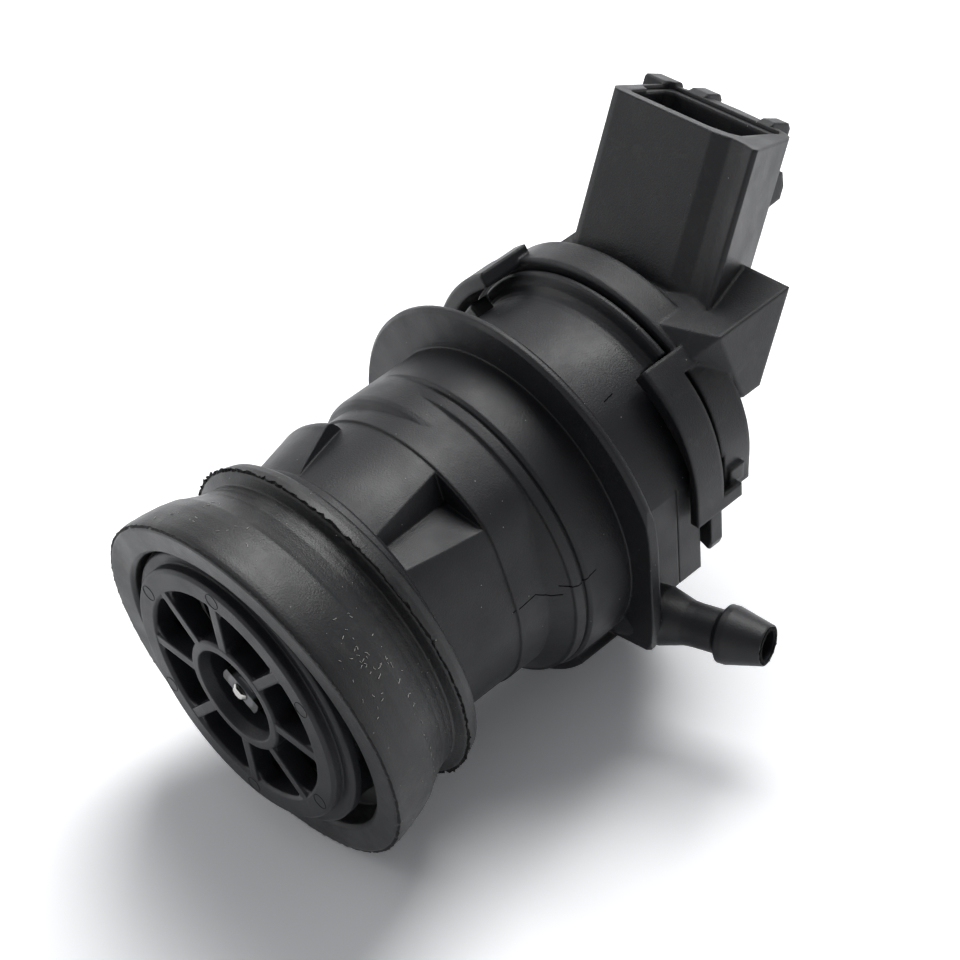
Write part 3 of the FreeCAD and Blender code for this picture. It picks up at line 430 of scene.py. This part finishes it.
lint = lint_material()
fibre_r = 0.026
fibre_step_turn = 0.33
fibre_step_y = 0.12
fibre_lift = 0.02
crumb_r = (0.025, 0.06)
cluster_angle = (41, 7)
cluster_y = (5.3, 1.0)
draw = random.Random(5)
starts = [(draw.gauss(*cluster_angle), draw.gauss(*cluster_y)) for k in range(30)]
crease = ((57, 6.6), (37, 7.4), (20, 7.9), (-7, 8.6))
for k in range(16):
    (a0, y0), (a1, y1) = draw.choice(tuple(zip(crease, crease[1:])))
    part = draw.random()
    starts.append((a0 + (a1 - a0) * part, y0 + (y1 - y0) * part + draw.gauss(0, 0.12)))
starts += [(121, 1.2), (117, 2.4), (111, 4.9), (110.5, 5.6), (105.5, 2.6), (97, 2.9), (95, 3.6), (109, 6.3)]
starts += [(draw.uniform(-40, 120), draw.uniform(3.0, 8.5)) for k in range(12)]
fibres = []
for angle, y in starts:
    heading = draw.uniform(0, 2 * math.pi)
    bend = draw.gauss(0, 0.25)
    fibre = []
    for k in range(draw.choice((3, 3, 4, 4, 6))):
        fibre.append(on_skin("tank_grommet", angle, y, fibre_lift + 0.05 * draw.random()))
        heading += bend
        angle += math.cos(heading) * fibre_step_turn
        y += math.sin(heading) * fibre_step_y
    fibres.append(fibre)
finish_piece(threads(fibres, fibre_r), "lint_fibres", lint, "pump")

bpy.ops.object.select_all(action="DESELECT")
crumbs = []
for k in range(60):
    if k % 3 == 0:
        node, angle, y = "pump_housing", draw.uniform(-20, 130), draw.uniform(17.0, 50.0)
    else:
        node, angle, y = "tank_grommet", draw.uniform(-30, 120), draw.uniform(2.8, 13.5)
    bpy.ops.mesh.primitive_ico_sphere_add(subdivisions=1, radius=draw.uniform(*crumb_r) * MM,
                                          location=on_skin(node, angle, y, 0.02))
    crumbs.append(bpy.context.object)
for crumb in crumbs:
    crumb.select_set(True)
bpy.ops.object.join()
bpy.ops.object.transform_apply(location=True)
finish_piece(bpy.context.object, "lint_crumbs", lint, "pump")

# Seals inside: the flat gasket between the cap and the rim, and the lip seal round the shaft. Both are
# nitrile rubber, cleaner than the grommet and slightly oily.
seal_rubber = moulded_plastic("oiled_nitrile_rubber", "#141416", grain_mm=0.3, roughness=(0.35, 0.5),
                              dust=0.1)
for node_name in ("cap_gasket", "shaft_seal"):
    finish_node(node_name, seal_rubber)

# Impeller: grey acetal, moulded smooth and pressed on the shaft, waxy rather than glossy. Past the tab round
# the shaft it is painted near black, as painted shade of the chamber behind the grille.
acetal = moulded_plastic("grey_acetal", "#6a6b6e", grain_mm=0.3, grain_depth=0.003, roughness=(0.3, 0.42),
                         dust=0.2, edge_mm=0.15)
tab_end = 1.75
painted_shade_from = 2.05
tree = acetal.node_tree
hub_skin = tree.nodes["Principled BSDF"]
unshaded_colour = hub_skin.inputs["Base Color"].links[0].from_socket
# Painted shade: beyond tab_end the colour fades to near black with distance from the axis.
across = add_node(tree, "ShaderNodeVectorMath", {"operation": "MULTIPLY"}, {1: (1.0, 0.0, 1.0)},
                  {0: add_node(tree, "ShaderNodeTexCoord").outputs["Object"]})
from_axis = add_node(tree, "ShaderNodeVectorMath", {"operation": "LENGTH"}, None, {0: across.outputs[0]})
painted_shade_mask = add_node(tree, "ShaderNodeMapRange", None, {"From Min": tab_end * MM, "From Max": painted_shade_from * MM},
                 {"Value": from_axis.outputs["Value"]})
hub = add_node(tree, "ShaderNodeMix", {"data_type": "RGBA"}, {7: linear("#161618")},
               {0: painted_shade_mask.outputs[0], 6: unshaded_colour})
tree.links.new(hub.outputs[2], hub_skin.inputs["Base Color"])
finish_node("impeller", acetal)


# Shaft: a ground steel rod with a flat at its front end, where the impeller is pressed on. Grinding
# left it bright with fine rings round it, drawn 0.15 mm wide, which is coarser than the real ones.
def bare_metal(name, colour, roughness, ring_mm=0.0, blotch=0.35, ring_depth=0.002, dark=None):
    """Metal with blotchy tarnish, and rings of that width along the pump axis if ring_mm isn't zero."""
    blotch_mm = 2.0
    grit_mm = 0.12
    material, tree, out = blank_material(name)
    place = add_node(tree, "ShaderNodeTexCoord").outputs["Object"]
    cloud = add_node(tree, "ShaderNodeTexNoise", None,
                     {"Scale": 1 / (blotch_mm * MM), "Detail": 4.0, "Roughness": 0.65}, {"Vector": place})
    fade = tuple(c * (1 - blotch) for c in linear(colour)[:3]) + (1.0,)
    tint = add_node(tree, "ShaderNodeMix", {"data_type": "RGBA"},
                    {6: linear(colour), 7: linear(dark) if dark else fade},
                    {0: cloud.outputs["Fac"]})
    gloss = add_node(tree, "ShaderNodeMapRange", None,
                     {"From Min": 0.3, "From Max": 0.7, "To Min": roughness * 0.8, "To Max": roughness * 1.3},
                     {"Value": cloud.outputs["Fac"]})
    rounded = add_node(tree, "ShaderNodeBevel", {"samples": 4}, {"Radius": 0.1 * MM})
    if ring_mm:
        along = add_node(tree, "ShaderNodeSeparateXYZ", None, None, {0: place})
        lines = add_node(tree, "ShaderNodeMath", {"operation": "MULTIPLY"}, {1: 1 / (ring_mm * MM)},
                         {0: along.outputs["Y"]})
        height = add_node(tree, "ShaderNodeTexNoise", {"noise_dimensions": "1D"},
                          {"Scale": 1.0, "Detail": 3.0}, {"W": lines.outputs[0]}).outputs["Fac"]
    else:
        height = add_node(tree, "ShaderNodeTexNoise", None, {"Scale": 1 / (grit_mm * MM), "Detail": 2.0},
                          {"Vector": place}).outputs["Fac"]
    bump = add_node(tree, "ShaderNodeBump", None, {"Strength": 0.5, "Distance": ring_depth * MM * 10},
                    {"Height": height, "Normal": rounded.outputs[0]})
    skin = add_node(tree, "ShaderNodeBsdfPrincipled", None, {"Metallic": 1.0},
                    {"Base Color": tint.outputs[2], "Roughness": gloss.outputs[0],
                     "Normal": bump.outputs[0]})
    tree.links.new(skin.outputs[0], out.inputs[0])
    return material


finish_node("shaft", bare_metal("ground_steel", "#c8c7c3", 0.2, ring_mm=0.15, blotch=0.2))

# Motor can and magnet clip: the can is deep-drawn steel, zinc plated and a little dull. The clip is a
# strip of blued spring steel that spreads the two magnets against the can.
finish_node("motor_can", bare_metal("zinc_plated_steel", "#b9bbbc", 0.32, ring_mm=0.8, blotch=0.25))
finish_node("magnet_clip", bare_metal("blued_spring_steel", "#4c5361", 0.35, blotch=0.4))

# Magnets: two arcs of pressed ferrite, held against the can by the clip. They have no plating, so
# they are dull dark grey and slightly grainy.
ferrite = moulded_plastic("pressed_ferrite", "#3a3836", grain_mm=0.25, grain_depth=0.01,
                          roughness=(0.6, 0.75), dust=0.1, specular=0.6)
for node_name in ("magnet_left", "magnet_right"):
    finish_node(node_name, ferrite)

# Bushes: two sleeves of sintered bronze that carry the shaft, in the can's boss and in the end plate.
# They are soaked in oil, so they are matt with darker pores.
bronze = bare_metal("sintered_bronze", "#a27c4a", 0.42, dark="#5b4326")
for node_name in ("front_bush", "rear_bush"):
    finish_node(node_name, bronze)

# Armature core: a stack of silicon steel stampings, each 0.5 mm thick, on the shaft. It shows a fine
# ring for each sheet, and brown edges.
core_steel = bare_metal("laminated_core_steel", "#77746f", 0.45, ring_mm=0.5, ring_depth=0.008,
                        dark="#4d443a")
finish_node("armature_core", core_steel)

# Coils: enamelled copper wire, 0.28 mm thick, wound on the three teeth of the core. It is warm
# red-brown under its clear enamel.
enamelled = bare_metal("enamelled_copper_wire", "#b8683c", 0.28, ring_mm=0.28, ring_depth=0.02,
                       dark="#7e3f22")
for k in (1, 2, 3):
    finish_node("coil_%d" % k, enamelled)

# Commutator: three copper bars on a moulded ring behind the core. They were turned bright and then
# darkened by the brushes.
finish_node("commutator", bare_metal("brushed_copper_bars", "#c07a52", 0.3, ring_mm=0.12, dark="#6a4630"))

# Brushes and their springs: pressed blocks of copper graphite, dull and brown black, on leaf springs
# of copper alloy strip.
carbon = bare_metal("copper_graphite", "#4a3f39", 0.55, dark="#2b2624")
strip = bare_metal("copper_alloy_strip", "#c59a5b", 0.3, blotch=0.25)
for side in ("left", "right"):
    finish_node("brush_" + side, carbon)
    finish_node("brush_spring_" + side, strip)

# Terminals: stamped brass blades that reach from the motor into the plug socket. They are tin plated,
# with the soft shine of tin.
tin = bare_metal("tinned_brass", "#c9c8c2", 0.3, blotch=0.3)
for node_name in ("terminal_left", "terminal_right"):
    finish_node(node_name, tin)

# End plate of the motor: a nylon moulding in its natural cream colour, with the brush posts, that
# closes the can and holds the rear bush.
natural_nylon = moulded_plastic("natural_nylon", "#cfc6ae", roughness=(0.4, 0.5), dust=0.0,
                                scuff_colour="#b8ac90", scuff=0.4)
finish_node("end_plate", natural_nylon)

# Thrust washers: two small rings punched from white nylon sheet, on the shaft at either end of the
# armature.
washer_nylon = moulded_plastic("white_nylon_sheet", "#dcdad2", grain_mm=0.3, roughness=(0.35, 0.45),
                               dust=0.0)
for node_name in ("front_washer", "rear_washer"):
    finish_node(node_name, washer_nylon)
